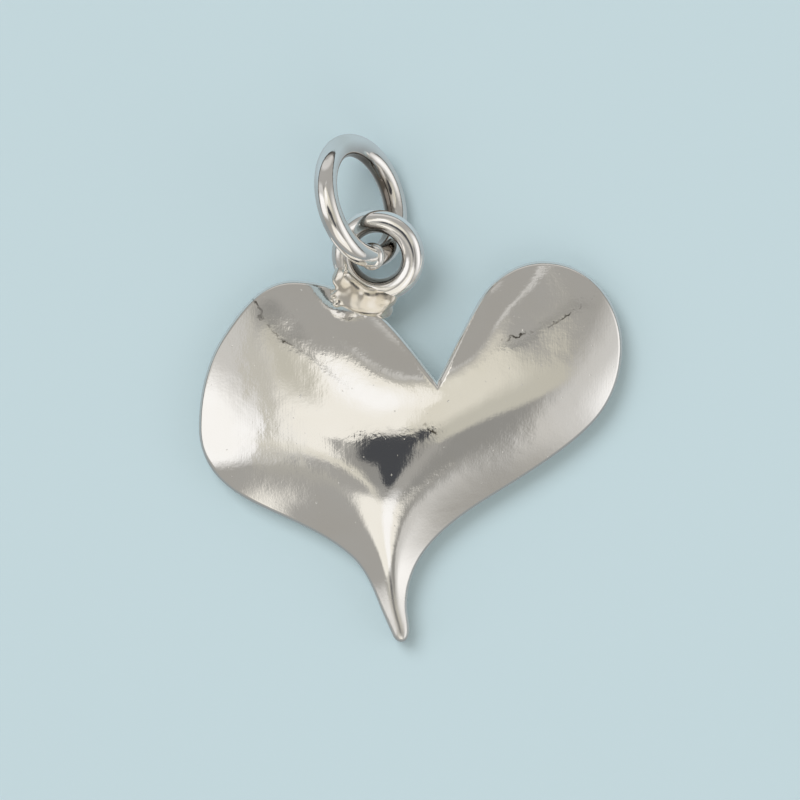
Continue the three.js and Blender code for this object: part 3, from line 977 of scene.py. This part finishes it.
bm, place_layer = start_from_outline(BACK_TOP)
first_row = bm.edges[:]
row = first_row
for height, inset in SEAM_ROWS:
    row, new_vertices = extrude_row(bm, row)
    at = outline_row(SEAM_INSET * inset)
    for vertex in new_vertices:
        i = vertex[place_layer]
        vertex.co = (at[i][0] * MM, at[i][1] * MM, height * MM)
bmesh.ops.triangle_fill(bm, edges=first_row, use_beauty=True)
bmesh.ops.triangle_fill(bm, edges=row, use_beauty=True)
bmesh.ops.recalc_face_normals(bm, faces=bm.faces[:])
seam = add_piece(bm, "seam_line", "charm", solder_silver, ["rim_solder"])
seam.data.attributes.remove(seam.data.attributes["place"])

# %% [markdown]
# ## Bending wire
#
# Both rings are round wire. A ready-made torus would do for a closed ring, but not for one with a cut, so a
# circle of the wire's size is spun about the ring's middle. That gives a ring lying flat, and a matrix
# carries it to its place. The finish is polished, but dark inside the ring, with oxide and painted shade.

# %% Wire helpers
WIRE_SIDES = 32


def spin_wire(radius, sweep, steps, start=0.0):
    bm = bmesh.new()
    stand = Matrix.Translation((radius * MM, 0, 0)) @ Matrix.Rotation(math.radians(90), 4, "X")
    circle = bmesh.ops.create_circle(bm, segments=WIRE_SIDES, radius=WIRE_RADIUS * MM, matrix=stand)["verts"]
    bmesh.ops.rotate(bm, verts=circle, matrix=Matrix.Rotation(math.radians(start), 3, "Z"))
    bmesh.ops.spin(
        bm,
        geom=bm.verts[:] + bm.edges[:],
        axis=(0, 0, 1),
        cent=(0, 0, 0),
        angle=math.radians(sweep),
        steps=steps,
        use_merge=sweep == 360,
    )
    return bm


def make_wire(name, *ring):
    return make_silver(
        name, (1.0, 0.99, 0.98), (0.80, 0.77, 0.72), (0.05, 0.12), (6.0, 0.8, 0.8, 4.0), ring=ring
    )


# %% [markdown]
# ## The eye
#
# The eye is closed and stands a little askew on the lobe, so its axis is tilted by the two angles that it
# rises with to the right and up the picture.

# %% Eye
EYE_RADIUS = 1.55
EYE_CENTRE = Vector((-0.52, 8.73, 1.9))
EYE_RISES = (10, 15)
EYE_STEPS = 96
EYE_DARK = (0.50, 0.85)  # wire radii inwards from its middle: where the dark starts, where it is full

rise = Vector([-math.tan(math.radians(angle)) for angle in EYE_RISES] + [1]).normalized()
eye_place = Matrix.Translation(EYE_CENTRE * MM) @ rise.to_track_quat("Z", "Y").to_matrix().to_4x4()
eye_wire = make_wire("eye wire", eye_place, EYE_RADIUS, *EYE_DARK)
bm = spin_wire(EYE_RADIUS, 360, EYE_STEPS)
bmesh.ops.transform(bm, matrix=eye_place, verts=bm.verts[:])
bmesh.ops.recalc_face_normals(bm, faces=bm.faces[:])
add_piece(bm, "eye_wire", "charm", eye_wire, ["eye_ring"])

# %% [markdown]
# ## The jump ring
#
# The ring leans in the eye with its lowest point on the floor. It keeps its saw cut, so its spin stops short
# and the two ends are capped and lightly rounded.

# %% Jump ring
RING_RADIUS = 2.5
RING_TOWARD = 107.5
RING_LONG_AXIS = -74
RING_TILT = 55.6
RING_STEPS = 128
RING_DARK = (0.72, 0.97)
CUT_AT = 8
CUT_WIDTH = 0.16
CUT_BEVEL = 0.06

tilt = math.radians(RING_TILT)
along = unit(RING_LONG_AXIS)
uphill = Vector((along.y * math.cos(tilt), -along.x * math.cos(tilt), math.sin(tilt)))
ring_centre = EYE_CENTRE + unit(RING_TOWARD) * RING_RADIUS
ring_centre.z = RING_RADIUS * math.sin(tilt) + WIRE_RADIUS
ring_place = Matrix((along, uphill, along.cross(uphill))).transposed().to_4x4()
ring_place = Matrix.Translation(ring_centre * MM) @ ring_place
ring_wire = make_wire("ring wire", ring_place, RING_RADIUS, *RING_DARK)
cut_angle = math.degrees(CUT_WIDTH / RING_RADIUS)
bm = spin_wire(RING_RADIUS, 360 - cut_angle, RING_STEPS, CUT_AT + cut_angle / 2)
ends = bmesh.ops.holes_fill(bm, edges=[edge for edge in bm.edges if edge.is_boundary], sides=0)["faces"]
end_edges = list({edge for face in ends for edge in face.edges})
bmesh.ops.bevel(
    bm, geom=end_edges, offset=CUT_BEVEL * MM, segments=3, profile=0.5, material=-1, affect="EDGES"
)
bmesh.ops.transform(bm, matrix=ring_place, verts=bm.verts[:])
bmesh.ops.recalc_face_normals(bm, faces=bm.faces[:])
add_piece(bm, "loose_ring", "ring", ring_wire, ["jump_ring"])

# %% [markdown]
# ## The bead in the cut
#
# A small bead of solder closes the cut. It is a ball pressed into an egg, a little thicker than the wire,
# and it was polished together with the ring, so it shares the ring's finish.

# %% Bead
BEAD_RADIUS = 0.61
BEAD_LENGTH = 0.84

bm = bmesh.new()
bmesh.ops.create_uvsphere(bm, u_segments=48, v_segments=24, radius=1)
bead_place = (
    ring_place
    @ Matrix.Rotation(math.radians(CUT_AT), 4, "Z")
    @ Matrix.Translation((RING_RADIUS * MM, 0, 0))
    @ Matrix.Diagonal((BEAD_RADIUS * MM, BEAD_LENGTH / 2 * MM, BEAD_RADIUS * MM, 1))
)
bmesh.ops.transform(bm, matrix=bead_place, verts=bm.verts[:])
add_piece(bm, "ring_bead", "ring", ring_wire, ["jump_ring_solder"])

# %% [markdown]
# ## The solder that holds the eye: laying it on
#
# Molten solder ran between the wire and the lobe and froze in lumps. Three pressed balls are the lumps, rows
# of smaller balls that overlap make the fillet along the wire, and a few drops lie beside it. The balls of a
# row swell and stray a little, so that the fillet isn't too even.

# %% Balls of solder
EYE_SOLDER_LUMPS = (  # heading, how far beyond the wire, how far below its middle, half sizes, turn
    (-118, 0.41, 0.9, (1.15, 0.6, 0.8), -33),
    (-93, 0.58, 0.95, (0.85, 0.55, 0.74), -30),
    (-119, 0.7, 0.6, (0.95, 0.5, 0.45), -32),
)
FILLET_ROWS = (  # first and last heading, how far beyond the wire, how far below its middle, radius
    (-160, -68, 0.10, 0.22, 0.38),
    (-148, -76, 0.32, 0.32, 0.38),
    (-138, -82, 0.54, 0.42, 0.38),
    (-134, -88, 0.74, 0.52, 0.36),
)
SPATTER = (  # heading, how far beyond the wire, how far below its middle, radius
    (-131, 1.25, 0.42, 0.20),
    (-139, 1.12, 0.40, 0.16),
    (-165, -0.08, -0.40, 0.15),
    (-155, 0.00, -0.38, 0.17),
)
BALL_STEP = 4
WOBBLE_ALONG = 0.07  # how fast the noise changes with the heading
WOBBLE_ACROSS = 2.5
WOBBLE_CUT = 5.0
STRAY = 0.12
SWELL = 0.22


def solder_place(heading_to, beyond, below):
    return EYE_CENTRE + unit(heading_to) * (EYE_RADIUS + beyond) - Vector((0, 0, below))


bm = bmesh.new()
for heading_to, beyond, below, half, turn in EYE_SOLDER_LUMPS:
    place = (
        Matrix.Translation(solder_place(heading_to, beyond, below) * MM)
        @ Matrix.Rotation(math.radians(turn), 4, "Z")
        @ Matrix.Diagonal((*(size * MM for size in half), 1))
    )
    bmesh.ops.create_icosphere(bm, subdivisions=4, radius=1, matrix=place)
balls = list(SPATTER)
for first, last, beyond, below, size in FILLET_ROWS:
    for heading_to in range(first, last + 1, BALL_STEP):
        wobble = noise.noise(Vector((heading_to * WOBBLE_ALONG, beyond * WOBBLE_ACROSS, WOBBLE_CUT)))
        balls.append((heading_to, beyond + STRAY * wobble, below, size * (1 + SWELL * wobble)))
for heading_to, beyond, below, size in balls:
    place = Matrix.Translation(solder_place(heading_to, beyond, below) * MM)
    bmesh.ops.create_icosphere(bm, subdivisions=3, radius=size * MM, matrix=place)
print("laid on", len(EYE_SOLDER_LUMPS), "lumps and", len(balls), "small balls")

# %% [markdown]
# ## The solder that holds the eye: melting it
#
# A boolean union would keep a crease wherever two balls meet. A voxel remesh melts them into one skin, and
# smoothing rounds the joins.

# %% Melted solder
MELT_SIZE = 0.06
SOFTEN_TIMES = 40
SOFTEN_SHARE = 0.5

solder = add_piece(bm, "eye_solder_lumps", "charm", solder_silver, ["eye_solder"])
melt = solder.modifiers.new("melt", "REMESH")
melt.mode = "VOXEL"
melt.voxel_size = MELT_SIZE * MM
melt.use_smooth_shade = True
soften = solder.modifiers.new("soften", "SMOOTH")
soften.iterations = SOFTEN_TIMES
soften.factor = SOFTEN_SHARE

# %% [markdown]
# ## The last look
#
# The dressed charm has to stay in the box of its solids.


new_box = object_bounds()
for old, new in zip(cad_box, new_box):
    print("corner moved by, mm:", [round((b - a) / MM, 3) for a, b in zip(old, new)])
